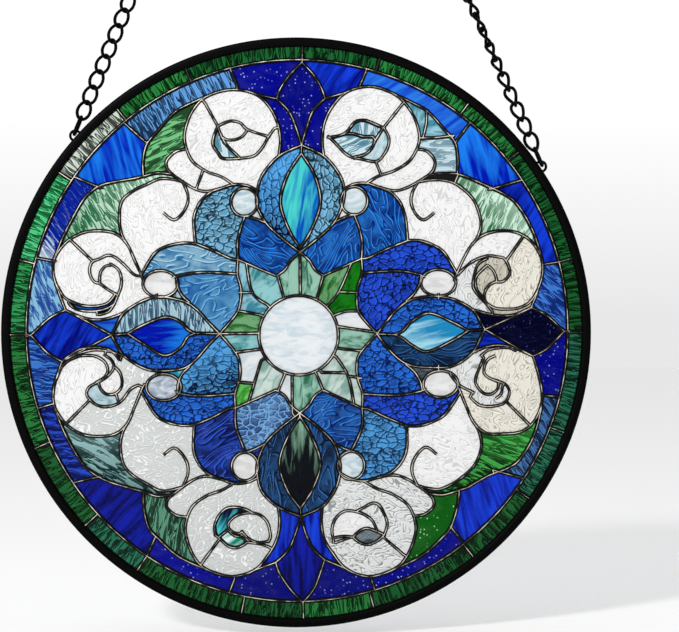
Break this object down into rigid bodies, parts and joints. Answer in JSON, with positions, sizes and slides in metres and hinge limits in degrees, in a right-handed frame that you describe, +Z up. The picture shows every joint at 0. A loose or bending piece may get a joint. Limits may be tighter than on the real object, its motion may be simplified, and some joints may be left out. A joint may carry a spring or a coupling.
{
  "type": "stained glass suncatcher",
  "caption": "Round leaded glass panel with a rosette of scrolls and petals in a slim metal rim, hung from one ring by two runs of curb chain.",
  "frame": {"origin": "the point inside the hanging ring where a hook bears", "axes": "+Z up along the hang, +X to the panel's right seen from its front, which faces -Y"},
  "size_m": [0.3, 0.0094, 0.531],
  "materials": {
    "black_metal": "satin black",
    "lead": "dark patina with worn bright crests",
    "white_glass": "opal, polished and rippled",
    "ice_glass": "pale, polished",
    "mint_glass": "textured",
    "leaf_glass": "reeded",
    "border_glass": "reeded",
    "cobalt_glass": "hammered",
    "royal_glass": "crackled",
    "azure_glass": "streaky",
    "aqua_glass": "streaky"
  },
  "bodies": {
    "root": {"hanging_ring": "black_metal", "chain_left": "black_metal", "chain_right": "black_metal", "rim": "black_metal", "lead_lines": "lead", "centre_disc": "ice_glass", "star_ring": "mint_glass", "cobalt_ring": "cobalt_glass", "green_border": "border_glass", "top_jewel": "aqua_glass", "right_jewel": "aqua_glass", "left_jewel": "royal_glass", "bottom_jewel": "mint_glass", "top_jewel_surround": "azure_glass", "right_jewel_surround": "royal_glass", "bottom_jewel_surround": "cobalt_glass", "left_jewel_surround": "azure_glass", "first_petal_upper_right": "royal_glass", "second_petal_upper_right": "azure_glass", "third_petal_upper_right": "cobalt_glass", "fourth_petal_upper_right": "royal_glass", "upper_pearl_upper_right": "ice_glass", "side_pearl_upper_right": "white_glass", "upper_scroll_upper_right": "white_glass", "side_scroll_upper_right": "white_glass", "lobe_upper_right": "white_glass", "leaf_upper_right": "leaf_glass", "first_petal_upper_left": "royal_glass", "second_petal_upper_left": "azure_glass", "third_petal_upper_left": "cobalt_glass", "fourth_petal_upper_left": "royal_glass", "upper_pearl_upper_left": "ice_glass", "side_pearl_upper_left": "white_glass", "upper_scroll_upper_left": "white_glass", "side_scroll_upper_left": "white_glass", "lobe_upper_left": "white_glass", "leaf_upper_left": "leaf_glass", "first_petal_lower_left": "royal_glass", "second_petal_lower_left": "azure_glass", "third_petal_lower_left": "cobalt_glass", "fourth_petal_lower_left": "royal_glass", "upper_pearl_lower_left": "ice_glass", "side_pearl_lower_left": "white_glass", "upper_scroll_lower_left": "white_glass", "side_scroll_lower_left": "white_glass", "lobe_lower_left": "white_glass", "leaf_lower_left": "leaf_glass", "first_petal_lower_right": "royal_glass", "second_petal_lower_right": "azure_glass", "third_petal_lower_right": "cobalt_glass", "fourth_petal_lower_right": "royal_glass", "upper_pearl_lower_right": "ice_glass", "side_pearl_lower_right": "white_glass", "upper_scroll_lower_right": "white_glass", "side_scroll_lower_right": "white_glass", "lobe_lower_right": "white_glass", "leaf_lower_right": "leaf_glass"}
  },
  "joints": []
}
